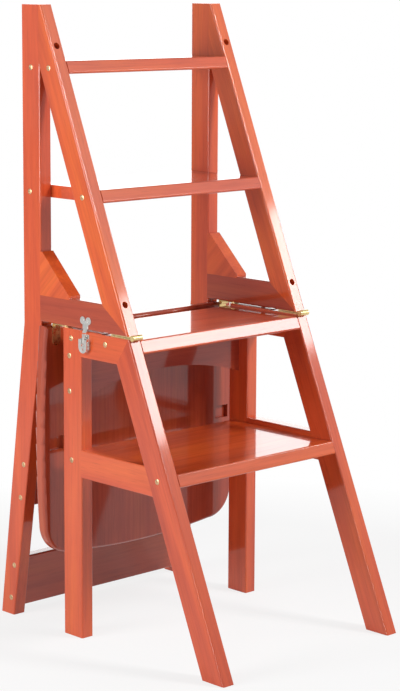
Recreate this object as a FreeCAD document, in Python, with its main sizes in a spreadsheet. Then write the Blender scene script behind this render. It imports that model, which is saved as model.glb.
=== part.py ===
import FreeCAD, Part
import math
import os
import re
import Sketcher

# Folding step stool chair in its ladder position, in millimetres.
# X runs across the steps, the front is toward -Y and the floor is at Z = 0.
# Depths are counted from the rear face of the base section's rear legs.

SIZES = {
    "total_height": 900,
    "fold_gap": 2,
    "frame_width": 352,
    "frame_thick": 20.5,
    "edge_round": 2.2,
    "joint_lap": 2,
    "cut_margin": 1,
    "short_edge": 72,
    "toe_reach": 330,
    "fold_reach": 140,
    "front_leg_wide": 42.4,
    "rear_leg_wide": 40,
    "base_rail_tall": 39,
    "mid_rail_low": 236,
    "mid_rail_tall": 41,
    "step_thick": 18,
    "step_round": 2.5,
    "third_step_thick": 19.5,
    "third_step_back": 4,
    "third_step_drop": 3.5,
    "fourth_step_top": 269,
    "fourth_step_inset": 6,
    "apron_thick": 18,
    "apron_set_in": 3,
    "apron_tall": 78.5,
    "apron_rise": 24,
    "post_gap": 47.5,
    "post_wide": 39.5,
    "post_bend_drop": 6,
    "post_foot_back": 146,
    "post_foot_wide": 30,
    "upper_lead": 1,
    "top_set_back": 45,
    "upper_leg_wide": 39.4,
    "upper_rail_tall": 40,
    "gusset_tall": 61,
    "gusset_deep": 62,
    "gusset_blunt": 3,
    "first_step_drop": 78,
    "second_step_drop": 254,
    "slat_tall": 78,
    "slat_thick": 18,
    "slat_inset": 1.5,
    "crest_rail_low": 12,
    "back_slat_low": 169,
    "screw_radius": 1.9,
    "screw_head_radius": 4,
    "screw_head_deep": 2.6,
    "screw_long": 42,
    "step_screw_drop": 10,
    "third_screw_drop": 14,
    "step_screw_back": 18,
    "third_screw_in": 55,
    "fourth_screw_in": 22.5,
    "apron_screw_front": 14,
    "apron_screw_drop": 20,
    "apron_screw_pitch": 51,
    "first_screw_rear": 67,
    "first_screw_in": 19,
    "second_screw_rear": 71,
    "second_screw_in": 20,
    "slat_screw_pitch": 51,
    "bore_radius": 4.8,
    "bore_deep": 14,
    "bore_screw_radius": 2.2,
    "bore_screw_head": 3.9,
    "bore_screw_top_long": 44,
    "bore_screw_low_long": 22,
    "bore_top_drop": 57,
    "bore_low_rise": 42.5,
    "fold_knuckle_radius": 4.2,
    "fold_axis_ahead": 4.7,
    "fold_leaf_long": 39,
    "fold_leaf_wide": 17,
    "fold_leaf_thick": 1.6,
    "mortise_deep": 1,
    "mortise_spare": 17,
    "fold_screw_pitch": 13,
    "fold_screw_start": 6.5,
    "fold_screw_sway": 3.5,
    "fold_pin_radius": 1.5,
    "leaf_edge_gap": 0.5,
    "knuckle_gap": 0.3,
    "pin_clearance": 0.05,
    "leaf_screw_radius": 1.2,
    "leaf_screw_head": 2.8,
    "leaf_screw_sink": 1.2,
    "leaf_screw_long": 12,
    "seat_axis_back": 23.7,
    "seat_knuckle_radius": 3.9,
    "seat_leaf_long": 30,
    "seat_leaf_wide": 13.5,
    "seat_leaf_thick": 1.5,
    "seat_leaf_play": 1.5,
    "seat_pin_radius": 1.9,
    "seat_pin_inset": 2,
    "seat_screw_start": 7.5,
    "seat_screw_pitch": 13.5,
    "seat_pocket_room": 0.5,
    "seat_thick": 18,
    "seat_top_drop": 1.2,
    "seat_top_half": 184.5,
    "seat_side_half": 187.5,
    "seat_side_drop": 294,
    "seat_side_bow": 1650,
    "seat_corner_half": 141,
    "seat_corner_drop": 339,
    "seat_corner_bow": 46,
    "seat_bottom_bow": 1200,
    "seat_edge_round": 5,
    "recess_wide": 26,
    "recess_long": 19.5,
    "recess_lower": 4.5,
    "recess_deep": 6,
    "latch_forward": 51,
    "latch_half": 7.5,
    "latch_top_drop": 4,
    "latch_round_drop": 18,
    "latch_plate_thick": 1.2,
    "latch_pivot_drop": 8,
    "latch_pivot_out": 3.4,
    "latch_pin_radius": 0.8,
    "latch_ear_radius": 2.1,
    "latch_ear_off": 6,
    "latch_ear_thick": 1.2,
    "lever_out": 5.9,
    "lever_thick": 1.2,
    "lever_half": 8.6,
    "lever_end_rise": 1,
    "lever_round_drop": 10,
    "lever_slot_half": 3.2,
    "lever_slot_drop": 9,
    "lever_cheek_off": 4,
    "lever_cheek_drop": 6.5,
    "lever_cheek_in": 1.5,
    "lever_hole_drop": 13,
    "lever_hole_radius": 1.7,
    "claw_pin_drop": 5,
    "claw_pin_radius": 0.7,
    "claw_eye_radius": 1.5,
    "claw_half": 2.5,
    "claw_out": 1.2,
    "claw_thick": 1,
    "claw_reach": 13.5,
    "claw_lip": 2,
    "strike_nose_gap": 1.5,
    "strike_lift": 0.6,
    "strike_thick": 1.4,
    "strike_half": 4,
    "strike_lobe_off": 6,
    "strike_lobe_radius": 5.5,
    "strike_lobe_rise": 13,
    "strike_edge_rise": 1.5,
    "strike_nose_tall": 2,
    "strike_nose_out": 1.6,
    "latch_screw_radius": 1.1,
    "latch_screw_head": 2.1,
    "latch_screw_dome": 0.9,
    "latch_screw_long": 12,
    "latch_screw_drop": 3.5,
}

doc = FreeCAD.newDocument("folding_step_chair")
sheet = doc.addObject("Spreadsheet::Sheet", "sizes")
for row, (alias, value) in enumerate(SIZES.items(), start=1):
    sheet.set(f"A{row}", alias)
    sheet.set(f"B{row}", str(value))
    sheet.setAlias(f"B{row}", alias)
doc.recompute()

SIDES = ("left", "right")
nodes = {}


def sized(text):
    """Point each size's name in an expression at its cell of the sheet."""
    return re.sub(r"[a-z_]+", lambda word: "sizes." + word[0] if word[0] in SIZES else word[0], text)


def bind(thing, target, text):
    """Tie a property or a constraint of an object to an expression of the sizes."""
    thing.setExpression(target, sized(text))


def worth(text):
    """The present value of an expression, for the starting shape of a sketch."""
    return float(sheet.evalExpression(sized(text)))


# Heights, faces and sloping lines that several pieces share, as expressions of the sizes

base_top = "((total_height - fold_gap) / 2)"
upper_low = "((total_height + fold_gap) / 2)"
fold_height = "(total_height / 2)"
outer_face = "(frame_width / 2)"
inner_face = "(frame_width / 2 - frame_thick)"
frame_middle = "(frame_width / 2 - frame_thick / 2)"
depth_shift = "((toe_reach - post_foot_back) / 2)"
upper_rail_top = f"({upper_low} + upper_rail_tall)"
base_rail_low = f"({base_top} - base_rail_tall)"
base_slope = f"((toe_reach - fold_reach) / {base_top})"
upper_slope = f"((fold_reach - upper_lead + top_set_back) / (total_height - {upper_low}))"
fold_depth = "(-fold_reach - fold_axis_ahead)"
post_rear = "(post_gap + post_wide)"
post_bend_height = f"({upper_low} - post_bend_drop)"
first_step_top = "(total_height - first_step_drop)"
second_step_top = "(total_height - second_step_drop)"
seat_offset = "(seat_leaf_thick + seat_leaf_play)"
seat_face = f"(seat_axis_back + {seat_offset})"
seat_axis_height = f"({upper_low} - {seat_offset})"


def base_front(height):
    """Depth of the front line of the base section at a height."""
    return f"({base_slope} * ({height}) - toe_reach)"


def base_leg_rear(height):
    """Depth of the rear line of the slanted base legs at a height."""
    return f"({base_front(height)} + front_leg_wide)"


def upper_front(height):
    """Depth of the front line of the upper section at a height."""
    return f"({upper_slope} * (({height}) - {upper_low}) - fold_reach + upper_lead)"


def post_share(height):
    """How far a height lies below the bend of the posts, as a share of the bend's height."""
    return f"(1 - ({height}) / {post_bend_height})"


def post_front(height):
    """Depth of the front line of the posts below their bend."""
    return f"(post_gap + (post_foot_back - post_foot_wide - post_gap) * {post_share(height)})"


def side_start(side, near, far):
    """Lowest X of a piece that lies between two distances from the middle plane."""
    return f"({near})" if side == "right" else f"(-({far}))"


def side_sign(side):
    """Sign of X on a side, as the first factor of an expression."""
    return "1" if side == "right" else "-1"


def place(thing, across, depth, height):
    """Put an object at a bound position, its depth counted from the rear legs."""
    bind(thing, "Placement.Base.x", across)
    bind(thing, "Placement.Base.y", f"{depth_shift} + ({depth})")
    bind(thing, "Placement.Base.z", height)


def finish(name, thing):
    """Name an object after its node and keep it for the export."""
    thing.Label = name
    nodes[name] = thing
    return thing


def bowed(start, end, radius):
    """Arc between two sketch points that bulges to the right of the way from start to end."""
    chord = end.sub(start)
    middle = start.add(end).multiply(0.5)
    inward = FreeCAD.Vector(-chord.y, chord.x, 0).normalize()
    rest = math.sqrt(radius ** 2 - (chord.Length / 2) ** 2)
    centre = middle.add(inward.multiply(rest))
    first = math.atan2(start.y - centre.y, start.x - centre.x)
    last = math.atan2(end.y - centre.y, end.x - centre.x)
    circle = Part.Circle(centre, FreeCAD.Vector(0, 0, 1), radius)
    return Part.ArcOfCircle(circle, first, last)


def padded(name, plane, thick, corners, bows=None):
    """Body padded from a closed outline. Sides named in bows are arcs of the given radius."""
    bows = bows or {}
    body = doc.addObject("PartDesign::Body", name)
    sketch = body.newObject("Sketcher::SketchObject", name + "_outline")
    support = [item for item in body.Origin.OriginFeatures if item.Role == plane][0]
    sketch.AttachmentSupport = [(support, "")]
    sketch.MapMode = "FlatFace"
    points = [FreeCAD.Vector(worth(across), worth(up), 0) for across, up in corners]
    count = len(points)
    for index, point in enumerate(points):
        other = points[(index + 1) % count]
        if index in bows:
            sketch.addGeometry(bowed(point, other, worth(bows[index])), False)
        else:
            sketch.addGeometry(Part.LineSegment(point, other), False)
    for index in range(count):
        sketch.addConstraint(Sketcher.Constraint("Coincident", index, 2, (index + 1) % count, 1))
    for index, (across, up) in enumerate(corners):
        here = points[index]
        level = sketch.addConstraint(Sketcher.Constraint("DistanceX", -1, 1, index, 1, here.x))
        bind(sketch, f"Constraints[{level}]", across)
        level = sketch.addConstraint(Sketcher.Constraint("DistanceY", -1, 1, index, 1, here.y))
        bind(sketch, f"Constraints[{level}]", up)
    for index, radius in bows.items():
        level = sketch.addConstraint(Sketcher.Constraint("Radius", index, worth(radius)))
        bind(sketch, f"Constraints[{level}]", radius)
    pad = body.newObject("PartDesign::Pad", name + "_pad")
    pad.Profile = sketch
    bind(pad, "Length", thick)
    return body


def rounded(body, radius, wanted):
    """Round the edges of a body's last feature for which wanted(edge) holds."""
    doc.recompute()
    last = body.Tip
    names = [f"Edge{number}" for number, edge in enumerate(last.Shape.Edges, start=1) if wanted(edge)]
    fillet = body.newObject("PartDesign::Fillet", f"{body.Name}_round")
    fillet.Base = (last, names)
    bind(fillet, "Radius", radius)


def runs_across(edge):
    """True for an edge along X."""
    return abs(edge.tangentAt(edge.FirstParameter).x) > 0.99


def runs_long(edge):
    """True for an edge in a side face that is longer than the ends of the members."""
    return not runs_across(edge) and edge.Length > worth("short_edge")


def in_depth_plane(edge, depth):
    """True for an edge that lies in the upright plane at a depth of its body."""
    return edge.BoundBox.YLength < 0.01 and abs(edge.BoundBox.YMin - depth) < 0.01


def runs_sloping(edge):
    """True for a long edge in a side face that isn't upright."""
    return runs_long(edge) and abs(edge.tangentAt(edge.FirstParameter).z) < 0.999


def member(name, side, corners, radius="edge_round", wanted=runs_long):
    """Side frame member with eased long edges, from its side view outline."""
    body = padded(name + "_blank", "YZ_Plane", "frame_thick", corners)
    place(body, side_start(side, inner_face, outer_face), "0", "0")
    if radius:
        rounded(body, radius, wanted)
    return body


def block(name, across, depth, height, wide, deep, tall):
    """Box from its lowest corner and its three lengths."""
    box = doc.addObject("Part::Box", name)
    bind(box, "Length", wide)
    bind(box, "Width", deep)
    bind(box, "Height", tall)
    place(box, across, depth, height)
    return box


AIMS = {
    "+x": FreeCAD.Rotation(FreeCAD.Vector(0, 1, 0), 90),
    "-x": FreeCAD.Rotation(FreeCAD.Vector(0, 1, 0), -90),
    "+y": FreeCAD.Rotation(FreeCAD.Vector(-1, 0, 0), 90),
    "+z": FreeCAD.Rotation(),
    "-z": FreeCAD.Rotation(FreeCAD.Vector(1, 0, 0), 180),
}


def rod(name, aim, across, depth, height, radius, tall):
    """Cylinder that starts at a point and runs along one of the axes."""
    cylinder = doc.addObject("Part::Cylinder", name)
    bind(cylinder, "Radius", radius)
    bind(cylinder, "Height", tall)
    cylinder.Placement = FreeCAD.Placement(FreeCAD.Vector(), AIMS[aim])
    place(cylinder, across, depth, height)
    return cylinder


def joined(name, pieces):
    """One solid made of overlapping pieces."""
    whole = doc.addObject("Part::MultiFuse", name)
    whole.Shapes = pieces
    return whole


def grouped(name, pieces):
    """Separate solids kept together."""
    group = doc.addObject("Part::Compound", name)
    group.Links = pieces
    return group


def carved(name, blank, tools):
    """Piece without the room that the tools take."""
    cut = doc.addObject("Part::Cut", name)
    cut.Base = blank
    cut.Tool = tools[0] if len(tools) == 1 else grouped(name + "_tools", tools)
    return cut


def countersunk(name, aim, spot, sizes):
    """Screw with a flat conical head that starts at a surface point."""
    across, depth, height = spot
    radius, head, sink, length = sizes
    cone = doc.addObject("Part::Cone", name + "_head")
    bind(cone, "Radius1", head)
    bind(cone, "Radius2", radius)
    bind(cone, "Height", sink)
    cone.Placement = FreeCAD.Placement(FreeCAD.Vector(), AIMS[aim])
    place(cone, across, depth, height)
    shank = rod(name + "_shank", aim, across, depth, height, radius, length)
    return joined(name, [cone, shank])


def countersunk_group(name, places, sizes):
    """Group of equal countersunk screws, each from its aim and its surface point."""
    screws = [countersunk(f"{name}_{index}", aim, spot, sizes) for index, (aim, spot) in enumerate(places)]
    return grouped(name, screws)


FRAME_SCREW = ("screw_radius", "screw_head_radius", "screw_head_deep", "screw_long")
LEAF_SCREW = ("leaf_screw_radius", "leaf_screw_head", "leaf_screw_sink", "leaf_screw_long")


def face_screws(spots):
    """Aims and points of the screws driven into both outer faces at the same spots."""
    places = []
    for depth, height in spots:
        places.append(("+x", (f"-{outer_face}", depth, height)))
        places.append(("-x", (outer_face, depth, height)))
    return places


# Base section: screws first, because the wood is cut to them

third_screw_height = f"({base_top} - third_screw_drop)"
fourth_screw_height = "(fourth_step_top - step_screw_drop)"
apron_screw_height = f"({base_top} - third_step_thick - apron_screw_drop)"
base_screws = countersunk_group(
    "base_screws",
    face_screws([
        ("-step_screw_back", third_screw_height),
        (f"{base_front(third_screw_height)} + third_screw_in", third_screw_height),
        ("-apron_screw_front", apron_screw_height),
        ("-apron_screw_front", f"{apron_screw_height} - apron_screw_pitch"),
        ("-step_screw_back", fourth_screw_height),
        (f"{base_front(fourth_screw_height)} + fourth_screw_in", fourth_screw_height),
    ]),
    FRAME_SCREW,
)
finish("base_screws", base_screws)

# Fold hinges, whose leaves lie in the gap between the two sections


def hinge_segments(side, wide):
    """Start and length of the three knuckles of a hinge, from low X to high X."""
    length = f"(({wide} - 2 * knuckle_gap) / 3)"
    start = f"({side_sign(side)} * {frame_middle} - {wide} / 2)"
    return [(f"({start} + {index} * ({length} + knuckle_gap))", length) for index in range(3)]


def leaf_spots(side, height, aim):
    """Aims and points of the three screws along a fold hinge's leaf, in a zigzag."""
    places = []
    for index, sway in enumerate(("-fold_screw_sway", "fold_screw_sway", "-fold_screw_sway")):
        across = f"({side_sign(side)} * {frame_middle} + {sway})"
        depth = f"(-fold_reach + fold_screw_start + {index} * fold_screw_pitch)"
        places.append((aim, (across, depth, height)))
    return places


base_leaf_low = f"({base_top} - mortise_deep)"
upper_leaf_top = f"({upper_low} + mortise_deep)"
mortise_front = "(-fold_reach - cut_margin)"
mortise_long = "(fold_leaf_long + mortise_spare + cut_margin)"
base_mortises = {}
upper_mortises = {}
fold_base_places = []
fold_upper_places = []
for side in SIDES:
    fold_base_places += leaf_spots(side, f"({base_leaf_low} + fold_leaf_thick)", "-z")
    fold_upper_places += leaf_spots(side, f"({upper_leaf_top} - fold_leaf_thick)", "+z")
    mortise_start = side_start(side, f"{inner_face} - cut_margin", f"{outer_face} + cut_margin")
    base_mortises[side] = block(
        f"base_mortise_{side}", mortise_start, mortise_front, base_leaf_low,
        "frame_thick + 2 * cut_margin", mortise_long, "mortise_deep + cut_margin")
    upper_mortises[side] = block(
        f"upper_mortise_{side}", mortise_start, mortise_front, f"{upper_low} - cut_margin",
        "frame_thick + 2 * cut_margin", mortise_long, "mortise_deep + cut_margin")
fold_base_screws = countersunk_group("fold_base_screws", fold_base_places, LEAF_SCREW)
finish("fold_base_screws", fold_base_screws)
fold_upper_screws = countersunk_group("fold_upper_screws", fold_upper_places, LEAF_SCREW)
finish("fold_upper_screws", fold_upper_screws)

pins = []
for side in SIDES:
    segments = hinge_segments(side, "fold_leaf_wide")
    leaf_start = f"({side_sign(side)} * {frame_middle} - fold_leaf_wide / 2)"
    pin = rod(
        f"fold_pin_{side}", "+x", segments[0][0], fold_depth, fold_height,
        "fold_pin_radius", "fold_leaf_wide")
    pins.append(pin)
    play = rod(
        f"fold_pin_play_{side}", "+x", segments[0][0], fold_depth, fold_height,
        "fold_pin_radius + pin_clearance", "fold_leaf_wide")
    for owner, level, kept, hole, screws in (
        ("base", base_leaf_low, (0, 2), pin, fold_base_screws),
        ("upper", f"({upper_leaf_top} - fold_leaf_thick)", (1,), play, fold_upper_screws),
    ):
        pieces = [block(
            f"fold_{owner}_plate_{side}", leaf_start, "-fold_reach", level,
            "fold_leaf_wide", "fold_leaf_long", "fold_leaf_thick")]
        for index in kept:
            start, length = segments[index]
            pieces.append(rod(
                f"fold_{owner}_knuckle_{side}_{index}", "+x", start, fold_depth, fold_height,
                "fold_knuckle_radius", length))
            pieces.append(block(
                f"fold_{owner}_tab_{side}_{index}", start, fold_depth, level,
                length, "fold_axis_ahead + leaf_edge_gap", "fold_leaf_thick"))
        leaf = joined(f"fold_{owner}_solid_{side}", pieces)
        finish(f"fold_{owner}_leaf_{side}", carved(f"fold_{owner}_leaf_{side}", leaf, [hole, screws]))
finish("fold_pins", grouped("fold_pins", pins))

# Latches on the outer faces. Depths and heights are the same on both sides.

latch_depth = "(-latch_forward)"
latch_top = f"({base_top} - latch_top_drop)"
latch_round_height = f"({latch_top} - latch_round_drop)"
latch_pivot_height = f"({latch_top} - latch_pivot_drop)"


def out_block(name, side, near, far, depth, height, deep, tall):
    """Box outside a side frame, from its two distances beyond the outer face."""
    start = side_start(side, f"{outer_face} + {near}", f"{outer_face} + {far}")
    return block(name, start, depth, height, f"({far}) - ({near})", deep, tall)


def out_rod(name, side, near, far, depth, height, radius):
    """Cylinder along X outside a side frame."""
    start = side_start(side, f"{outer_face} + {near}", f"{outer_face} + {far}")
    return rod(name, "+x", start, depth, height, radius, f"({far}) - ({near})")


def depth_rod(name, side, out, height, half, radius):
    """Cylinder along Y outside a side frame, centred on the latch."""
    across = f"{side_sign(side)} * ({outer_face} + {out})"
    return rod(name, "+y", across, f"{latch_depth} - ({half})", height, radius, f"2 * ({half})")


def dome_screws(name, side, surface, spots):
    """Two screws with round flat heads on top of a plate outside a side frame."""
    inward = "-x" if side == "right" else "+x"
    across = f"{side_sign(side)} * ({outer_face} + {surface} + latch_screw_dome)"
    under = f"{side_sign(side)} * ({outer_face} + {surface})"
    screws = []
    for index, (depth, height) in enumerate(spots):
        head = rod(
            f"{name}_head_{index}", inward, across, depth, height, "latch_screw_head", "latch_screw_dome")
        shank = rod(
            f"{name}_shank_{index}", inward, under, depth, height, "latch_screw_radius", "latch_screw_long")
        screws.append(joined(f"{name}_{index}", [head, shank]))
    return screws


claw_pin_height = f"({latch_pivot_height} - claw_pin_drop)"
claw_top = f"({claw_pin_height} + claw_reach)"
strike_low = f"({claw_top} + strike_nose_gap)"
lever_far = "(lever_out + lever_thick)"
latch_screws = []
strike_screws = []
latch_pins = []
latch_drills = {}
strike_drills = {}
for side in SIDES:
    plate_spots = [(latch_depth, f"{latch_top} - latch_screw_drop"), (latch_depth, latch_round_height)]
    lobe_spots = [
        (f"{latch_depth} + {sign} * strike_lobe_off", f"{upper_low} + strike_lobe_rise")
        for sign in (-1, 1)]
    latch_drills[side] = dome_screws(f"latch_screw_{side}", side, "latch_plate_thick", plate_spots)
    strike_drills[side] = dome_screws(f"strike_screw_{side}", side, "strike_thick", lobe_spots)
    latch_screws += latch_drills[side]
    strike_screws += strike_drills[side]

    pivot = depth_rod(
        f"latch_pivot_{side}", side, "latch_pivot_out", latch_pivot_height,
        "latch_ear_off + latch_ear_thick", "latch_pin_radius")
    latch_pins.append(pivot)
    pivot_play = depth_rod(
        f"latch_pivot_play_{side}", side, "latch_pivot_out", latch_pivot_height,
        "latch_ear_off + latch_ear_thick", "latch_pin_radius + pin_clearance")
    claw_pin = depth_rod(
        f"claw_pin_rod_{side}", side, "latch_pivot_out", claw_pin_height,
        "lever_cheek_off + latch_ear_thick", "claw_pin_radius")
    claw_pin_play = depth_rod(
        f"claw_pin_play_{side}", side, "latch_pivot_out", claw_pin_height,
        "lever_cheek_off + latch_ear_thick", "claw_pin_radius + pin_clearance")

    plate = [
        out_block(
            f"latch_plate_{side}", side, "0", "latch_plate_thick", f"{latch_depth} - latch_half",
            latch_round_height, "2 * latch_half", "latch_round_drop"),
        out_rod(
            f"latch_plate_end_{side}", side, "0", "latch_plate_thick", latch_depth,
            latch_round_height, "latch_half"),
    ]
    for index, start in enumerate(("-latch_ear_off - latch_ear_thick", "latch_ear_off")):
        plate.append(out_block(
            f"latch_web_{side}_{index}", side, "0", "latch_pivot_out", f"{latch_depth} + ({start})",
            f"{latch_pivot_height} - latch_ear_radius", "latch_ear_thick", "2 * latch_ear_radius"))
        plate.append(rod(
            f"latch_ear_{side}_{index}", "+y", f"{side_sign(side)} * ({outer_face} + latch_pivot_out)",
            f"{latch_depth} + ({start})", latch_pivot_height, "latch_ear_radius", "latch_ear_thick"))
    plate = joined(f"latch_plate_solid_{side}", plate)
    finish(f"latch_base_{side}", carved(f"latch_base_{side}", plate, latch_drills[side] + [pivot]))

    lever_round_height = f"({latch_pivot_height} - lever_round_drop)"
    lever = [
        out_block(
            f"lever_cover_{side}", side, "lever_out", lever_far, f"{latch_depth} - lever_half",
            lever_round_height, "2 * lever_half", "lever_round_drop + lever_end_rise"),
        out_rod(
            f"lever_end_{side}", side, "lever_out", lever_far, latch_depth,
            lever_round_height, "lever_half"),
    ]
    for index, start in enumerate(("-lever_cheek_off - latch_ear_thick", "lever_cheek_off")):
        lever.append(out_block(
            f"lever_cheek_{side}_{index}", side, "latch_pivot_out - lever_cheek_in", lever_far,
            f"{latch_depth} + ({start})", f"{latch_pivot_height} - lever_cheek_drop",
            "latch_ear_thick", "lever_cheek_drop + lever_end_rise"))
    lever = joined(f"lever_solid_{side}", lever)
    slot = out_block(
        f"lever_slot_{side}", side, "lever_out - cut_margin", f"{lever_far} + cut_margin",
        f"{latch_depth} - lever_slot_half", f"{latch_pivot_height} - lever_slot_drop",
        "2 * lever_slot_half", "lever_slot_drop + lever_end_rise + cut_margin")
    hole = out_rod(
        f"lever_hole_{side}", side, "lever_out - cut_margin", f"{lever_far} + cut_margin",
        latch_depth, f"{latch_pivot_height} - lever_hole_drop", "lever_hole_radius")
    finish(f"latch_lever_{side}", carved(f"latch_lever_{side}", lever, [slot, hole, pivot_play, claw_pin]))
    finish(f"claw_pin_{side}", claw_pin)

    claw_near = "(latch_pivot_out + claw_out)"
    claw_far = f"({claw_near} + claw_thick)"
    claw = joined(f"claw_solid_{side}", [
        out_block(
            f"claw_plate_{side}", side, claw_near, claw_far, f"{latch_depth} - claw_half",
            claw_pin_height, "2 * claw_half", "claw_reach"),
        depth_rod(
            f"claw_eye_{side}", side, "latch_pivot_out", claw_pin_height, "claw_half", "claw_eye_radius"),
        out_block(
            f"claw_lip_{side}", side, f"{claw_far} - claw_lip", claw_far, f"{latch_depth} - claw_half",
            f"{claw_top} - claw_thick", "2 * claw_half", "claw_thick"),
    ])
    finish(f"latch_claw_{side}", carved(f"latch_claw_{side}", claw, [claw_pin_play]))

    strike = [
        out_block(
            f"strike_tongue_{side}", side, "strike_lift", "strike_lift + strike_thick",
            f"{latch_depth} - strike_half", strike_low, "2 * strike_half",
            f"{upper_low} + strike_lobe_rise - {strike_low}"),
        out_block(
            f"strike_nose_{side}", side, "strike_lift", "strike_lift + strike_thick + strike_nose_out",
            f"{latch_depth} - strike_half", strike_low, "2 * strike_half", "strike_nose_tall"),
        out_block(
            f"strike_neck_{side}", side, "0", "strike_thick", f"{latch_depth} - strike_lobe_off",
            f"{upper_low} + strike_edge_rise", "2 * strike_lobe_off", "strike_lobe_rise - strike_edge_rise"),
    ]
    for index, (depth, height) in enumerate(lobe_spots):
        strike.append(out_rod(
            f"strike_lobe_{side}_{index}", side, "0", "strike_thick", depth, height, "strike_lobe_radius"))
    strike = joined(f"strike_solid_{side}", strike)
    finish(f"strike_{side}", carved(f"strike_{side}", strike, strike_drills[side]))
finish("latch_screws", grouped("latch_screws", latch_screws))
finish("strike_screws", grouped("strike_screws", strike_screws))
finish("latch_pins", grouped("latch_pins", latch_pins))

# Wood of the base section. Rails reach into the rounded edges of the legs and are cut to them.

rail_rear = "(-rear_leg_wide + joint_lap)"
mid_rail_top = "(mid_rail_low + mid_rail_tall)"
for side in SIDES:
    rear_leg = member(f"rear_leg_{side}", side, [
        ("-rear_leg_wide", "0"),
        ("0", "0"),
        ("0", base_top),
        ("-rear_leg_wide", base_top),
    ])
    finish(f"rear_leg_{side}", carved(f"rear_leg_{side}", rear_leg, [base_screws]))
    front_leg = member(f"front_leg_{side}", side, [
        ("-toe_reach", "0"),
        ("-toe_reach + front_leg_wide", "0"),
        (base_leg_rear(base_rail_low), base_rail_low),
        ("-fold_reach", base_top),
    ])
    finish(f"front_leg_{side}", carved(
        f"front_leg_{side}", front_leg, [base_screws, fold_base_screws, base_mortises[side]]))
    base_rail = member(f"base_rail_{side}", side, [
        (base_leg_rear(base_rail_low), base_rail_low),
        (rail_rear, base_rail_low),
        (rail_rear, base_top),
        ("-fold_reach", base_top),
    ])
    finish(f"base_rail_{side}", carved(
        f"base_rail_{side}", base_rail,
        [rear_leg, base_screws, fold_base_screws, base_mortises[side]] + latch_drills[side]))
    mid_rail = member(f"mid_rail_{side}", side, [
        (f"{base_leg_rear('mid_rail_low')} - joint_lap", "mid_rail_low"),
        (rail_rear, "mid_rail_low"),
        (rail_rear, mid_rail_top),
        (f"{base_leg_rear(mid_rail_top)} - joint_lap", mid_rail_top),
    ])
    finish(f"mid_rail_{side}", carved(f"mid_rail_{side}", mid_rail, [rear_leg, front_leg, base_screws]))


def step(name, front, rear, top, thick="step_thick"):
    """Step board between the side frames, its front bevelled along the front line."""
    low = f"({top} - {thick})"
    body = padded(name + "_blank", "YZ_Plane", f"2 * {inner_face}", [
        (front(low), low),
        (rear, low),
        (rear, top),
        (front(top), top),
    ])
    place(body, f"-{inner_face}", "0", "0")
    rounded(body, "step_round", runs_across)
    return body


third_step_top = f"({base_top} - third_step_drop)"
third_step = step("third_step", base_front, "third_step_back", third_step_top, "third_step_thick")
finish("third_step", carved("third_step", third_step, [base_screws]))
fourth_step = step("fourth_step", base_front, "-fourth_step_inset", "fourth_step_top")
finish("fourth_step", carved("fourth_step", fourth_step, [base_screws]))

apron_top = f"({third_step_top} - third_step_thick)"
apron_low = f"({apron_top} - apron_tall)"
apron_bow = f"(({inner_face} ^ 2 + apron_rise ^ 2) / (2 * apron_rise))"
apron = padded("apron_blank", "XZ_Plane", "apron_thick", [
    (f"-{inner_face}", apron_low),
    (f"-{inner_face}", apron_top),
    (inner_face, apron_top),
    (inner_face, apron_low),
], {3: apron_bow})
place(apron, "0", "-apron_set_in", "0")
finish("apron", carved("apron", apron, [base_screws]))

# Upper section: screws, seat hinges and wood

first_screw_height = f"({first_step_top} - step_screw_drop)"
second_screw_height = f"({second_step_top} - step_screw_drop)"
slat_spots = []
for low in ("back_slat_low", "crest_rail_low"):
    for sign in (-1, 1):
        height = f"({low} + slat_tall / 2 + {sign} * slat_screw_pitch / 2)"
        slat_spots.append((f"{post_front(height)} + slat_inset + slat_thick / 2", height))
upper_screws = countersunk_group(
    "upper_screws",
    face_screws([
        ("first_screw_rear", first_screw_height),
        (f"{upper_front(first_screw_height)} + first_screw_in", first_screw_height),
        ("second_screw_rear", second_screw_height),
        (f"{upper_front(second_screw_height)} + second_screw_in", second_screw_height),
    ] + slat_spots),
    FRAME_SCREW,
)
finish("upper_screws", upper_screws)

slant_run = f"(1 / sqrt(1 + {upper_slope} ^ 2))"
slant_fall = f"({upper_slope} * {slant_run})"


def below_face(height, deep):
    """Depth and height of a point at a distance square into the upper legs' front face."""
    return f"{upper_front(height)} + ({deep}) * {slant_run}", f"{height} - ({deep}) * {slant_fall}"


def squared(thing):
    """Turn a rod or a cone that runs rearward square to the upper legs' front face."""
    bind(thing, "Placement.Rotation.Angle", f"90 deg + atan({upper_slope})")
    return thing


bores = []
bore_screws = []
for side in SIDES:
    for level, height in (("top", "total_height - bore_top_drop"), ("low", f"{upper_low} + bore_low_rise")):
        across = f"{side_sign(side)} * {frame_middle}"
        bores.append(squared(rod(
            f"bore_{side}_{level}", "+y", across, *below_face(height, "-bore_radius"),
            "bore_radius", "bore_deep + bore_radius")))
        screw = countersunk(
            f"bore_screw_{side}_{level}", "+y", (across, *below_face(height, "bore_deep")),
            ("bore_screw_radius", "bore_screw_head", "screw_head_deep", f"bore_screw_{level}_long"))
        for piece in screw.Shapes:
            squared(piece)
        bore_screws.append(screw)
leg_screws = grouped("leg_screws", bore_screws)
finish("leg_screws", leg_screws)

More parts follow.
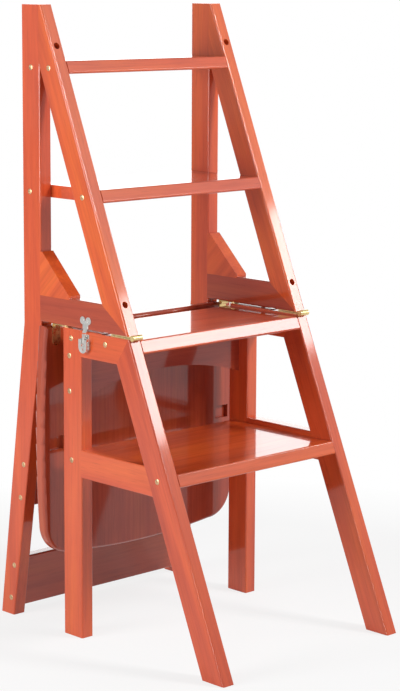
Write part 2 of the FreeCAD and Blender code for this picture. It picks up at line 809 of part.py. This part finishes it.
seat_rail_places = []
seat_board_places = []
for side in SIDES:
    across = f"({side_sign(side)} * {frame_middle})"
    for index in range(2):
        away = f"(seat_screw_start + {index} * seat_screw_pitch)"
        seat_rail_places.append(
            ("+z", (across, f"seat_axis_back - {away}", f"{upper_low} - seat_leaf_thick")))
        seat_board_places.append(
            ("+y", (across, "seat_axis_back + seat_leaf_play", f"{seat_axis_height} - {away}")))
seat_rail_screws = countersunk_group("seat_rail_screws", seat_rail_places, LEAF_SCREW)
finish("seat_rail_screws", seat_rail_screws)
seat_board_screws = countersunk_group("seat_board_screws", seat_board_places, LEAF_SCREW)
finish("seat_board_screws", seat_board_screws)

seat_pins = []
seat_pockets = {}
for side in SIDES:
    segments = hinge_segments(side, "seat_leaf_wide")
    leaf_start = f"({side_sign(side)} * {frame_middle} - seat_leaf_wide / 2)"
    pin = rod(
        f"seat_pin_{side}", "+x", f"{segments[0][0]} + seat_pin_inset", "seat_axis_back", seat_axis_height,
        "seat_pin_radius", "seat_leaf_wide - 2 * seat_pin_inset")
    seat_pins.append(pin)
    bore = rod(
        f"seat_pin_bore_{side}", "+x", segments[0][0], "seat_axis_back", seat_axis_height,
        "seat_pin_radius", "seat_leaf_wide")
    play = rod(
        f"seat_pin_play_{side}", "+x", segments[0][0], "seat_axis_back", seat_axis_height,
        "seat_pin_radius + pin_clearance", "seat_leaf_wide")
    leaf_edge = "(seat_knuckle_radius + leaf_edge_gap)"
    leaf_middle = f"({side_sign(side)} * {frame_middle})"
    leaf_flat = f"(seat_leaf_long - seat_leaf_wide / 2 - {leaf_edge})"
    rail_leaf = [
        block(
            f"seat_rail_plate_{side}", leaf_start, f"seat_axis_back - {leaf_edge} - {leaf_flat}",
            f"{upper_low} - seat_leaf_thick", "seat_leaf_wide", leaf_flat, "seat_leaf_thick"),
        rod(
            f"seat_rail_end_{side}", "+z", leaf_middle, f"seat_axis_back - {leaf_edge} - {leaf_flat}",
            f"{upper_low} - seat_leaf_thick", "seat_leaf_wide / 2", "seat_leaf_thick"),
    ]
    board_leaf = [
        block(
            f"seat_board_plate_{side}", leaf_start, "seat_axis_back + seat_leaf_play",
            f"{seat_axis_height} - {leaf_edge} - {leaf_flat}", "seat_leaf_wide",
            "seat_leaf_thick", leaf_flat),
        rod(
            f"seat_board_end_{side}", "+y", leaf_middle, "seat_axis_back + seat_leaf_play",
            f"{seat_axis_height} - {leaf_edge} - {leaf_flat}", "seat_leaf_wide / 2", "seat_leaf_thick"),
    ]
    for index, (start, length) in enumerate(segments):
        owner = board_leaf if index == 1 else rail_leaf
        owner.append(rod(
            f"seat_knuckle_{side}_{index}", "+x", start, "seat_axis_back", seat_axis_height,
            "seat_knuckle_radius", length))
        if index == 1:
            owner.append(block(
                f"seat_board_tab_{side}", start, "seat_axis_back + seat_leaf_play",
                f"{seat_axis_height} - {leaf_edge}", length, "seat_leaf_thick", leaf_edge))
        else:
            owner.append(block(
                f"seat_rail_tab_{side}_{index}", start, f"seat_axis_back - {leaf_edge}",
                f"{upper_low} - seat_leaf_thick", length, leaf_edge, "seat_leaf_thick"))
    rail_leaf = joined(f"seat_rail_leaf_solid_{side}", rail_leaf)
    finish(f"seat_rail_leaf_{side}", carved(
        f"seat_rail_leaf_{side}", rail_leaf, [bore, seat_rail_screws]))
    board_leaf = joined(f"seat_board_leaf_solid_{side}", board_leaf)
    finish(f"seat_board_leaf_{side}", carved(
        f"seat_board_leaf_{side}", board_leaf, [play, seat_board_screws]))
    room = "(seat_knuckle_radius + seat_pocket_room)"
    seat_pockets[side] = block(
        f"seat_pocket_{side}", f"{leaf_start} - seat_pocket_room", f"seat_axis_back - {room}", upper_low,
        "seat_leaf_wide + 2 * seat_pocket_room", f"2 * {room}", f"{room} - {seat_offset}")
finish("seat_pins", grouped("seat_pins", seat_pins))

lap_face = "(post_gap + joint_lap)"
for side in SIDES:
    post = member(f"back_post_{side}", side, [
        ("post_gap", "total_height"),
        ("post_gap", post_bend_height),
        ("post_foot_back - post_foot_wide", "0"),
        ("post_foot_back", "0"),
        (post_rear, post_bend_height),
        (post_rear, "total_height"),
    ])
    finish(f"back_post_{side}", carved(f"back_post_{side}", post, [upper_screws] + bores + [leg_screws]))
    leg_foot = f"({upper_front(upper_rail_top)} + upper_leg_wide)"
    leg_meet = f"({upper_low} + ({lap_face} + fold_reach - upper_lead - upper_leg_wide) / {upper_slope})"
    upper_leg = member(f"upper_leg_{side}", side, [
        ("-fold_reach + upper_lead", upper_low),
        (leg_foot, upper_rail_top),
        (lap_face, leg_meet),
        (lap_face, "total_height"),
        ("top_set_back", "total_height"),
    ], "edge_round", runs_sloping)
    finish(f"upper_leg_{side}", carved(
        f"upper_leg_{side}", upper_leg,
        [post, upper_screws, fold_upper_screws, upper_mortises[side]] + bores + [leg_screws]))
    upper_rail = member(f"upper_rail_{side}", side, [
        ("-fold_reach + upper_lead", upper_low),
        (lap_face, upper_low),
        (lap_face, upper_rail_top),
        (leg_foot, upper_rail_top),
    ])
    finish(f"upper_rail_{side}", carved(
        f"upper_rail_{side}", upper_rail,
        [post, fold_upper_screws, seat_rail_screws, seat_pockets[side], upper_mortises[side]]
        + strike_drills[side] + [leg_screws]))
    gusset = member(f"gusset_{side}", side, [
        ("post_gap - gusset_deep", f"{upper_rail_top} - joint_lap"),
        (lap_face, f"{upper_rail_top} - joint_lap"),
        (lap_face, f"{upper_rail_top} + gusset_tall"),
        ("post_gap - gusset_blunt", f"{upper_rail_top} + gusset_tall"),
        ("post_gap - gusset_deep", f"{upper_rail_top} + gusset_blunt"),
    ], None)
    finish(f"gusset_{side}", carved(f"gusset_{side}", gusset, [post, upper_rail]))

first_step = step("first_step", upper_front, post_rear, first_step_top)
finish("first_step", carved("first_step", first_step, [upper_screws]))
second_step = step("second_step", upper_front, post_rear, second_step_top)
finish("second_step", carved("second_step", second_step, [upper_screws]))


def slat(name, low):
    """Upright board between the sloping parts of the posts."""
    high = f"({low} + slat_tall)"
    body = padded(name + "_blank", "YZ_Plane", f"2 * {inner_face}", [
        (f"{post_front(low)} + slat_inset", low),
        (f"{post_front(low)} + slat_inset + slat_thick", low),
        (f"{post_front(high)} + slat_inset + slat_thick", high),
        (f"{post_front(high)} + slat_inset", high),
    ])
    place(body, f"-{inner_face}", "0", "0")
    rounded(body, "step_round", runs_across)
    return body


crest_rail = slat("crest_rail", "crest_rail_low")
finish("crest_rail", carved("crest_rail", crest_rail, [upper_screws]))
back_slat = slat("back_slat", "back_slat_low")
finish("back_slat", carved("back_slat", back_slat, [upper_screws]))

# Seat board, whose underside faces forward while the chair is a ladder

seat_top = f"({seat_axis_height} - seat_top_drop)"
seat_side_height = f"({seat_axis_height} - seat_side_drop)"
seat_corner_height = f"({seat_axis_height} - seat_corner_drop)"
seat = padded("seat_board_blank", "XZ_Plane", "seat_thick", [
    ("-seat_top_half", seat_top),
    ("-seat_side_half", seat_side_height),
    ("-seat_corner_half", seat_corner_height),
    ("seat_corner_half", seat_corner_height),
    ("seat_side_half", seat_side_height),
    ("seat_top_half", seat_top),
], {0: "seat_side_bow", 1: "seat_corner_bow", 2: "seat_bottom_bow", 3: "seat_corner_bow", 4: "seat_side_bow"})
place(seat, "0", f"{seat_face} + seat_thick", "0")
rounded(seat, "seat_edge_round", lambda edge: in_depth_plane(edge, -worth("seat_thick")))
rounded(seat, "seat_edge_round", lambda edge: in_depth_plane(edge, 0))
recesses = []
recess_height = f"({seat_axis_height} - seat_axis_back + {fold_depth})"
for side in SIDES:
    recesses.append(block(
        f"recess_{side}", f"{side_sign(side)} * {frame_middle} - recess_wide / 2",
        f"{seat_face} - cut_margin",
        f"{recess_height} - recess_lower - recess_long / 2", "recess_wide", "recess_deep + cut_margin",
        "recess_long"))
finish("seat_board", carved("seat_board", seat, recesses + [seat_board_screws]))

doc.recompute()
for item in doc.Objects:
    if "Invalid" in item.State or "Error" in item.State:
        raise RuntimeError(f"{item.Label} is not up to date: {item.State}")
os.makedirs("parts", exist_ok=True)
for name, item in nodes.items():
    if item.Shape.isNull() or not item.Shape.isValid() or not item.Shape.Solids:
        raise RuntimeError(f"{name} has no sound shape")
    item.Shape.exportStep(f"parts/{name}.step")
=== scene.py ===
import math
import bmesh
import bpy
from mathutils import Matrix, Vector


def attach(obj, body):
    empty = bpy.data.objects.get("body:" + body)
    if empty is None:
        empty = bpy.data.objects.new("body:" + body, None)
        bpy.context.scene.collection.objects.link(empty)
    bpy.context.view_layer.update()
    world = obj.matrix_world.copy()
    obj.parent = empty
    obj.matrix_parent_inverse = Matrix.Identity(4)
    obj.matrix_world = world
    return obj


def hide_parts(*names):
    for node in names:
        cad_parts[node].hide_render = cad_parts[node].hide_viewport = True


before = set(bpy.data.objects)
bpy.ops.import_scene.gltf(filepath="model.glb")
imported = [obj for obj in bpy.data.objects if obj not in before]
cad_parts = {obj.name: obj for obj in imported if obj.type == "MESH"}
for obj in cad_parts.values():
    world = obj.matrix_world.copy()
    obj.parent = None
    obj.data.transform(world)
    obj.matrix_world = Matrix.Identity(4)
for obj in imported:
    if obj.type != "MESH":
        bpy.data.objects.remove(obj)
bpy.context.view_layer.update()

# Helpers for node trees


def emptied(owner):
    """The node tree of a material or world, with no nodes in it."""
    owner.use_nodes = True
    owner.node_tree.nodes.clear()
    return owner.node_tree


def fresh(name):
    """A new material, its node tree and its principled shader, which feeds the output."""
    material = bpy.data.materials.new(name)
    tree = emptied(material)
    shader = tree.nodes.new("ShaderNodeBsdfPrincipled")
    output = tree.nodes.new("ShaderNodeOutputMaterial")
    tree.links.new(shader.outputs["BSDF"], output.inputs["Surface"])
    return material, tree, shader


def noise(tree, vector, scale, detail, roughness, distortion=0.0):
    """Noise texture read at a vector."""
    node = tree.nodes.new("ShaderNodeTexNoise")
    node.inputs["Scale"].default_value = scale
    node.inputs["Detail"].default_value = detail
    node.inputs["Roughness"].default_value = roughness
    node.inputs["Distortion"].default_value = distortion
    tree.links.new(vector, node.inputs["Vector"])
    return node.outputs["Fac"]


def mapped(tree, source, location=(0, 0, 0), rotation=(0, 0, 0), scale=(1, 1, 1)):
    """Vector stretched, then turned, then moved."""
    node = tree.nodes.new("ShaderNodeMapping")
    node.inputs["Location"].default_value = location
    node.inputs["Rotation"].default_value = rotation
    node.inputs["Scale"].default_value = scale
    tree.links.new(source, node.inputs["Vector"])
    return node.outputs["Vector"]


def times(colour, factors):
    """Colour with each channel multiplied by its own factor."""
    return tuple(channel * factor for channel, factor in zip(colour, factors))


def ramp(tree, factor, stops):
    """Colour ramp from (position, colour) pairs."""
    node = tree.nodes.new("ShaderNodeValToRGB")
    bar = node.color_ramp
    bar.elements[0].position, bar.elements[0].color = stops[0][0], (*stops[0][1], 1)
    bar.elements[1].position, bar.elements[1].color = stops[-1][0], (*stops[-1][1], 1)
    for place, colour in stops[1:-1]:
        bar.elements.new(place).color = (*colour, 1)
    tree.links.new(factor, node.inputs["Fac"])
    return node.outputs["Color"]


def span(tree, factor, low, high, start=0.0, end=1.0):
    """Value that goes from low to high while the factor goes from start to end."""
    node = tree.nodes.new("ShaderNodeMapRange")
    node.inputs["From Min"].default_value = start
    node.inputs["From Max"].default_value = end
    node.inputs["To Min"].default_value = low
    node.inputs["To Max"].default_value = high
    tree.links.new(factor, node.inputs["Value"])
    return node.outputs["Result"]


def tinted(tree, share, colour, tint):
    """Colour multiplied by a tint, as far as the share says."""
    node = tree.nodes.new("ShaderNodeMix")
    node.data_type = "RGBA"
    node.blend_type = "MULTIPLY"
    factor, first, second = node.inputs[0], node.inputs[6], node.inputs[7]
    tree.links.new(share, factor)
    tree.links.new(colour, first)
    second.default_value = (*tint, 1)
    return node.outputs[2]


def bumped(tree, height, strength, distance):
    """Normal from a height."""
    node = tree.nodes.new("ShaderNodeBump")
    node.inputs["Strength"].default_value = strength
    node.inputs["Distance"].default_value = distance
    tree.links.new(height, node.inputs["Height"])
    return node.outputs["Normal"]


def calculated(tree, operation, first, second):
    """Result of a math operation on a socket and a second socket or number."""
    node = tree.nodes.new("ShaderNodeMath")
    node.operation = operation
    tree.links.new(first, node.inputs[0])
    if isinstance(second, float):
        node.inputs[1].default_value = second
    else:
        tree.links.new(second, node.inputs[1])
    return node.outputs[0]


# Lacquered red wood, whose grain runs along the local X of the turned coordinates

TONE = (0.65, 0.088, 0.022)
WARM = (0.69, 0.104, 0.020)
# DEEP is a darker tone that paints the shade on the seat board, apron, crest rail and back slat
# inside the frame; the upper rails get it too
DEEP = (0.43, 0.059, 0.021)
CLOUD_SCALE = (1.2, 9, 9)
DARK_CLOUD = (0.74, 0.62, 0.80)
LIGHT_CLOUD = (1.12, 1.42, 1.05)
BAND_SCALE = (0.28, 1, 0.8)
BAND_TINT = (0.74, 0.60, 0.52)
STREAK_SCALE = (2.5, 70, 70)
STREAK_TINT = (0.66, 0.50, 0.42)
PORE_SCALE = (14, 420, 420)
PORE_TINT = (0.55, 0.40, 0.34)
LEG_FIGURE = 0.8
SEAT_FIGURE = 1.2


def leaned(degrees):
    """Turn that puts the grain along a member which leans back by the given angle."""
    upright = Matrix.Rotation(math.radians(90), 3, "Y")
    lean = Matrix.Rotation(math.radians(degrees), 3, "X")
    return tuple((upright @ lean).to_euler("XYZ"))


ALONG_X = (0.0, 0.0, 0.0)
ALONG_Y = (0.0, 0.0, math.radians(90))
ALONG_Z = (0.0, math.radians(90), 0.0)
ALONG_LEG = leaned(23)
ALONG_GUSSET = leaned(-45)


def wood(name, turn, shift, tone, figure=1.0):
    """Red lacquered wood, with a figure of the given strength and a thin glossy coat."""
    material, tree, shader = fresh(name)
    place = tree.nodes.new("ShaderNodeTexCoord").outputs["Object"]
    lined = mapped(tree, place, location=shift, rotation=turn)

    # Broad clouds, from darker to more orange
    cloud = noise(tree, mapped(tree, lined, scale=CLOUD_SCALE),
                  scale=2.2, detail=4, roughness=0.5, distortion=0.6)
    base = ramp(tree, cloud, [
        (0.27, times(tone, DARK_CLOUD)),
        (0.5, tone),
        (0.74, times(tone, LIGHT_CLOUD)),
    ])

    # Growth bands
    wave = tree.nodes.new("ShaderNodeTexWave")
    wave.wave_type = "BANDS"
    wave.bands_direction = "Y"
    wave.inputs["Scale"].default_value = 11
    wave.inputs["Distortion"].default_value = 9
    wave.inputs["Detail"].default_value = 3
    wave.inputs["Detail Scale"].default_value = 1.1
    tree.links.new(mapped(tree, lined, scale=BAND_SCALE), wave.inputs["Vector"])
    bands = span(tree, wave.outputs["Fac"], low=0.0, high=0.30 * figure)
    base = tinted(tree, bands, base, BAND_TINT)

    # Streaks along the grain, and short dark pores
    streak = noise(tree, mapped(tree, lined, scale=STREAK_SCALE), scale=3, detail=6, roughness=0.62)
    lines = span(tree, streak, low=0.0, high=0.55 * figure, start=0.42, end=0.75)
    base = tinted(tree, lines, base, STREAK_TINT)
    pore = noise(tree, mapped(tree, lined, scale=PORE_SCALE), scale=2, detail=2, roughness=0.5)
    dots = span(tree, pore, low=0.0, high=0.45, start=0.60, end=0.75)
    base = tinted(tree, dots, base, PORE_TINT)

    # A slightly wavy coat over the pores
    wavy = noise(tree, place, scale=30, detail=2, roughness=0.5)
    pore_normal = bumped(tree, pore, strength=0.08, distance=0.0004)
    coat_normal = bumped(tree, wavy, strength=0.03, distance=0.0006)
    tree.links.new(base, shader.inputs["Base Color"])
    tree.links.new(span(tree, streak, low=0.34, high=0.46), shader.inputs["Roughness"])
    tree.links.new(pore_normal, shader.inputs["Normal"])
    tree.links.new(coat_normal, shader.inputs["Coat Normal"])
    shader.inputs["Specular IOR Level"].default_value = 0.2
    shader.inputs["Coat Weight"].default_value = 1.0
    shader.inputs["Coat Roughness"].default_value = 0.07
    shader.inputs["Coat IOR"].default_value = 1.5
    return material


woods = {
    "rear_leg_left": wood("wood_rear_leg", ALONG_Z, (0.3, 0.1, 0.7), TONE, LEG_FIGURE),
    "back_post_left": wood("wood_post", ALONG_Z, (1.3, 0.6, 0.2), TONE, LEG_FIGURE),
    "front_leg_left": wood("wood_front_leg", ALONG_LEG, (2.1, 0.2, 0.9), TONE, LEG_FIGURE),
    "upper_leg_left": wood("wood_upper_leg", ALONG_LEG, (3.2, 0.8, 0.4), WARM, LEG_FIGURE),
    "base_rail_left": wood("wood_rail", ALONG_Y, (0.5, 1.4, 0.1), TONE),
    "upper_rail_left": wood("wood_upper_rail", ALONG_Y, (2.5, 0.4, 1.1), DEEP),
    "gusset_left": wood("wood_gusset", ALONG_GUSSET, (0.9, 2.4, 1.6), WARM),
    "first_step": wood("wood_first_step", ALONG_X, (1.1, 0.3, 0.5), TONE),
    "second_step": wood("wood_second_step", ALONG_X, (2.2, 1.3, 0.1), TONE),
    "third_step": wood("wood_third_step", ALONG_X, (3.1, 0.3, 1.5), TONE),
    "fourth_step": wood("wood_fourth_step", ALONG_X, (4.1, 2.3, 0.5), WARM),
    # Painted shade: the apron, the seat board and, through SHARES, the crest rail and back slat get
    # the darker DEEP tone
    "apron": wood("wood_panel", ALONG_X, (5.1, 1.3, 2.5), DEEP),
    "seat_board": wood("wood_seat", ALONG_Z, (6.1, 0.3, 0.5), DEEP, SEAT_FIGURE),
}
SHARES = {
    "rear_leg_right": "rear_leg_left",
    "back_post_right": "back_post_left",
    "front_leg_right": "front_leg_left",
    "upper_leg_right": "upper_leg_left",
    "base_rail_right": "base_rail_left",
    "mid_rail_left": "base_rail_left",
    "mid_rail_right": "base_rail_left",
    "upper_rail_right": "upper_rail_left",
    "gusset_right": "gusset_left",
    "crest_rail": "apron",
    "back_slat": "apron",
}

# Brass, nickel and steel

CLOUD_LOW, CLOUD_HIGH = 0.3, 0.7
CLOUD_SHADE = (0.82, 0.82, 0.82)
SCRATCH_TURN = (0.4, 0.7, 0.2)
SCRATCH_SCALE = (60, 2600, 900)


def metal(name, tone, low, high):
    """Metal with faint clouds, fine scratches and a roughness between low and high."""
    material, tree, shader = fresh(name)
    place = tree.nodes.new("ShaderNodeTexCoord").outputs["Object"]
    cloud = noise(tree, place, scale=160, detail=5, roughness=0.6)
    colour = ramp(tree, cloud, [
        (CLOUD_LOW, times(tone, CLOUD_SHADE)),
        (CLOUD_HIGH, tone),
    ])
    rough = span(tree, cloud, low, high, start=CLOUD_LOW, end=CLOUD_HIGH)
    scratched = mapped(tree, place, rotation=SCRATCH_TURN, scale=SCRATCH_SCALE)
    scratch = noise(tree, scratched, scale=1, detail=2, roughness=0.5)
    tree.links.new(colour, shader.inputs["Base Color"])
    tree.links.new(rough, shader.inputs["Roughness"])
    tree.links.new(bumped(tree, scratch, strength=0.06, distance=0.0002), shader.inputs["Normal"])
    shader.inputs["Metallic"].default_value = 1.0
    return material


brass = metal("brass", (0.86, 0.64, 0.30), 0.22, 0.38)
nickel = metal("nickel", (0.93, 0.91, 0.88), 0.16, 0.30)
screw_brass = metal("screw_brass", (0.66, 0.45, 0.26), 0.26, 0.42)
steel = metal("dark_steel", (0.36, 0.31, 0.26), 0.35, 0.55)


def node_material(name):
    """The material that a node of the frame gets."""
    key = SHARES.get(name, name)
    if key in woods:
        return woods[key]
    if name == "leg_screws":
        return steel
    if name.startswith(("fold_", "seat_")) or name in ("base_screws", "upper_screws"):
        return brass
    return nickel


for node_name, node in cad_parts.items():
    node.data.materials.clear()
    node.data.materials.append(node_material(node_name))

# Raised screw heads with a cross recess in the outer faces, in place of the plain ones

OUTER_FACE = 0.176
ON_FACE = 0.0001
SAME_SCREW = 0.012
HEAD_RADIUS = 0.004
HEAD_DOME = 0.0007
HEAD_SINK = 0.0026
HEAD_RINGS = 16
HEAD_SIDES = 48
HEAD_TURN = 0.7
SHANK_RADIUS = 0.0019
RECESS_DEPTH = 0.0011
ARM_HALF_WIDTH = 0.00042
ARM_WIDENING = 0.0002
ARM_EDGE = (0.6, 1.3)
ARM_END = (0.0019, 0.0024)


def smooth(low, high, value):
    """Soft step from 0 at low to 1 at high."""
    share = min(1.0, max(0.0, (value - low) / (high - low)))
    return share * share * (3 - 2 * share)


def head_height(radius, aside):
    """Height over the rim, at a radius and at a distance from the middle of a recess arm."""
    width = ARM_HALF_WIDTH + ARM_WIDENING * (1 - radius / HEAD_RADIUS)
    beside = smooth(width * ARM_EDGE[0], width * ARM_EDGE[1], aside)
    depth = RECESS_DEPTH * (1 - beside) * (1 - smooth(*ARM_END, radius))
    return HEAD_DOME * (1 - (radius / HEAD_RADIUS) ** 2) - depth


def shank_height(radius, aside):
    """Height of the shank's end, which is flat."""
    return -HEAD_SINK


def add_head(mesh, centre, outward, turn):
    """Screw head, domed and with a cross recess, its rim at a surface point."""
    facing = Vector((0, 0, 1)).rotation_difference(outward).to_matrix()
    spin = Matrix.Rotation(turn, 3, "Z")

    def ring(radius, height):
        """Vertices around the screw's axis, with their height from a function."""
        loop = []
        for side in range(HEAD_SIDES):
            angle = 2 * math.pi * side / HEAD_SIDES
            across, up = radius * math.cos(angle), radius * math.sin(angle)
            point = Vector((across, up, height(radius, min(abs(across), abs(up)))))
            loop.append(mesh.verts.new(centre + facing @ (spin @ point)))
        return loop

    grid = [ring(HEAD_RADIUS * index / HEAD_RINGS, head_height) for index in range(1, HEAD_RINGS + 1)]
    middle = mesh.verts.new(centre + facing @ Vector((0, 0, HEAD_DOME - RECESS_DEPTH)))
    grid.append(ring(SHANK_RADIUS, shank_height))
    for side in range(HEAD_SIDES):
        after = (side + 1) % HEAD_SIDES
        mesh.faces.new((middle, grid[0][side], grid[0][after]))
        for inner, outer in zip(grid, grid[1:]):
            mesh.faces.new((inner[side], outer[side], outer[after], inner[after]))
    mesh.faces.new(reversed(grid[-1]))


def face_rims(node):
    """For each screw of a node its points in the outer face, in order of side and place."""
    rims = []
    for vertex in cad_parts[node].data.vertices:
        point = vertex.co.copy()
        if abs(abs(point.x) - OUTER_FACE) >= ON_FACE:
            continue
        rim = next((known for known in rims if (known[0] - point).length < SAME_SCREW), None)
        if rim is None:
            rims.append([point])
        else:
            rim.append(point)
    return sorted(rims, key=lambda rim: (rim[0].x > 0, rim[0].y, rim[0].z))


def box_middle(points):
    """Middle of the box around some points."""
    low = Vector([min(point[axis] for point in points) for axis in range(3)])
    high = Vector([max(point[axis] for point in points) for axis in range(3)])
    return (low + high) / 2


def screw_heads(name, node, body):
    """Detailed heads at the places of a group of face screws."""
    mesh = bmesh.new()
    for index, rim in enumerate(face_rims(node)):
        centre = box_middle(rim)
        add_head(mesh, centre, Vector((math.copysign(1, centre.x), 0, 0)), HEAD_TURN * index)
    data = bpy.data.meshes.new(name)
    mesh.to_mesh(data)
    mesh.free()
    data.polygons.foreach_set("use_smooth", [True] * len(data.polygons))
    data.materials.append(screw_brass)
    piece = bpy.data.objects.new(name, data)
    bpy.context.scene.collection.objects.link(piece)
    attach(piece, body)
    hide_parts(node)


screw_heads("base_screw_heads", "base_screws", "base")
screw_heads("upper_screw_heads", "upper_screws", "upper_frame")

# Floor and surroundings. The camera sees them white, and reflections show them dimmer.
# For all other light the floor is matt and the sky is faint.

FLOOR_SIZE = 8
FLOOR_DROP = 0.0005
FLOOR_GREY = (0.8, 0.8, 0.8, 1)
SLOPE_SHIFT = (0.5, 0, 0)
SLOPE_TURN = (0, 0, math.radians(45))
SLOPE_SCALE = (0.17, 0.17, 0.17)
SLOPE_REFLECTION = 0.40
NEAR_SCALE = (1.1, 1.1, 1.1)
NEAR_EDGE = 0.35
NEAR_GLOW = 0.80
SKY_REFLECTION = 0.6
SKY_LIGHT = 0.055


def seen_share(tree, reflection):
    """1 for the camera, the given share in reflections and 0 for all other light."""
    path = tree.nodes.new("ShaderNodeLightPath")
    mirror = calculated(tree, "MULTIPLY", path.outputs["Is Glossy Ray"], reflection)
    return calculated(tree, "MAXIMUM", path.outputs["Is Camera Ray"], mirror)


floor_data = bpy.data.meshes.new("floor")
floor_mesh = bmesh.new()
bmesh.ops.create_grid(floor_mesh, x_segments=1, y_segments=1, size=FLOOR_SIZE)
floor_mesh.to_mesh(floor_data)
floor_mesh.free()
floor = bpy.data.objects.new("floor", floor_data)
floor.location.z = -FLOOR_DROP
bpy.context.scene.collection.objects.link(floor)
floor_material = bpy.data.materials.new("floor_white")
floor_data.materials.append(floor_material)
tree = emptied(floor_material)
spot = tree.nodes.new("ShaderNodeTexCoord").outputs["Object"]

# Its reflection fades from the front right to the back left
slope = tree.nodes.new("ShaderNodeTexGradient")
tree.links.new(mapped(tree, spot, SLOPE_SHIFT, SLOPE_TURN, SLOPE_SCALE), slope.inputs["Vector"])
reflection = span(tree, slope.outputs["Fac"], SLOPE_REFLECTION, 1.0)

# Near the part it is partly matt, so that the part's shadow shows
near = tree.nodes.new("ShaderNodeTexGradient")
near.gradient_type = "SPHERICAL"
tree.links.new(mapped(tree, spot, scale=NEAR_SCALE), near.inputs["Vector"])
glow_limit = span(tree, near.outputs["Fac"], 1.0, NEAR_GLOW, 0.0, NEAR_EDGE)
glow_share = calculated(tree, "MULTIPLY", seen_share(tree, reflection), glow_limit)
matt = tree.nodes.new("ShaderNodeBsdfDiffuse")
matt.inputs["Color"].default_value = FLOOR_GREY
glow = tree.nodes.new("ShaderNodeEmission")
glow.inputs["Strength"].default_value = 1.0
mixed = tree.nodes.new("ShaderNodeMixShader")
tree.links.new(glow_share, mixed.inputs[0])
tree.links.new(matt.outputs[0], mixed.inputs[1])
tree.links.new(glow.outputs[0], mixed.inputs[2])
output = tree.nodes.new("ShaderNodeOutputMaterial")
tree.links.new(mixed.outputs[0], output.inputs["Surface"])

world = bpy.data.worlds.new("studio")
bpy.context.scene.world = world
tree = emptied(world)
sky = tree.nodes.new("ShaderNodeBackground")
sky.inputs["Color"].default_value = (1, 1, 1, 1)
strength = span(tree, seen_share(tree, SKY_REFLECTION), SKY_LIGHT, 1.0)
tree.links.new(strength, sky.inputs["Strength"])
output = tree.nodes.new("ShaderNodeOutputWorld")
tree.links.new(sky.outputs[0], output.inputs["Surface"])

# Lamps

PART_MIDDLE = Vector((0, 0, 0.45))


def lamp(name, direction, distance, wide, tall, power):
    """Soft rectangular light that looks at the middle of the part."""
    data = bpy.data.lights.new(name, "AREA")
    data.shape = "RECTANGLE"
    data.size = wide
    data.size_y = tall
    data.energy = power
    light = bpy.data.objects.new(name, data)
    away = Vector(direction).normalized()
    light.location = PART_MIDDLE + away * distance
    light.rotation_euler = away.to_track_quat("Z", "Y").to_euler()
    bpy.context.scene.collection.objects.link(light)


lamp("key", (0.55, -1.0, 0.92), distance=2.8, wide=0.55, tall=0.55, power=50)
lamp("side_left", (-1.0, 0.22, 0.22), distance=2.0, wide=0.9, tall=0.9, power=30)
lamp("front_left", (-0.92, -0.62, 0.10), distance=3.6, wide=0.6, tall=0.6, power=15)
lamp("band_right", (0.67, -0.613, 0.38), distance=4.0, wide=2.6, tall=0.4, power=44)
lamp("back_right", (0.67, 0.726, 0.22), distance=3.0, wide=3.0, tall=1.5, power=22)

# Camera where the photograph's was. Its lens and shift come from lengths in the photograph.

PHOTO_WIDTH = 400
PHOTO_MIDDLE_ROW = 345.5
OPTICAL_ROW = 320
FOCAL_LENGTH = 2085.25
SENSOR_WIDTH = 36.0
CAMERA_PLACE = (-2.05086, -2.14502, 0.93253)
YAW, PITCH, ROLL = 0.7642, 0.1609, 0.0050

camera_data = bpy.data.cameras.new("camera")
camera_data.sensor_fit = "HORIZONTAL"
camera_data.sensor_width = SENSOR_WIDTH
camera_data.lens = FOCAL_LENGTH / PHOTO_WIDTH * SENSOR_WIDTH
camera_data.shift_y = -(PHOTO_MIDDLE_ROW - OPTICAL_ROW) / PHOTO_WIDTH
camera = bpy.data.objects.new("camera", camera_data)
camera.location = CAMERA_PLACE
level = math.cos(PITCH)
forward = Vector((math.sin(YAW) * level, math.cos(YAW) * level, -math.sin(PITCH)))
right = Vector((math.cos(YAW), -math.sin(YAW), 0))
axes = Matrix((right, right.cross(forward), -forward)).transposed()
camera.rotation_euler = (axes @ Matrix.Rotation(ROLL, 3, "Z")).to_euler()
bpy.context.scene.collection.objects.link(camera)
bpy.context.scene.camera = camera
bpy.context.scene.view_settings.view_transform = "Standard"
